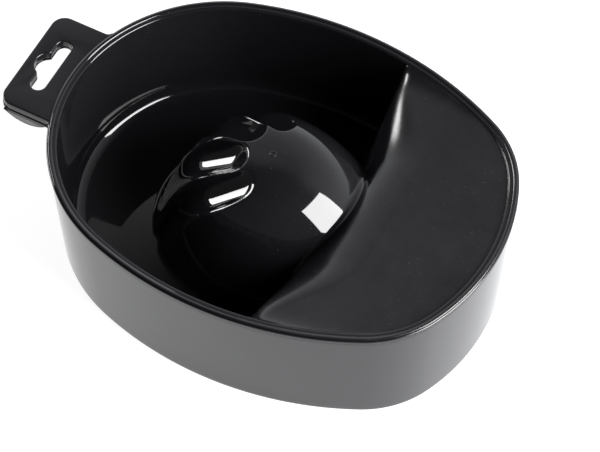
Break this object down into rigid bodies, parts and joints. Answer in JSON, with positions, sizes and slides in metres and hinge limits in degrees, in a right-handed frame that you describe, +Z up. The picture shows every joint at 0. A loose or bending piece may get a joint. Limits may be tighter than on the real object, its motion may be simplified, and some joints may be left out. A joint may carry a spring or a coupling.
{
  "type": "manicure soaking bowl",
  "caption": "Egg-shaped hand soaking bowl: a tray with palm dome, finger grooves and wrist deck sits in a plain outer shell with a hanging tab.",
  "frame": {"origin": "on the table, under the middle of the whole length with the hanging tab", "axes": "+X along the bowl from the hanging tab to the wrist end, +Z up, the bowl is the same on both sides of the XZ plane"},
  "size_m": [0.1985, 0.1392, 0.058],
  "materials": {
    "tray_plastic": "polished",
    "shell_plastic": "polished"
  },
  "bodies": {
    "root": {"inner_tray": "tray_plastic", "outer_shell": "shell_plastic"}
  },
  "joints": []
}
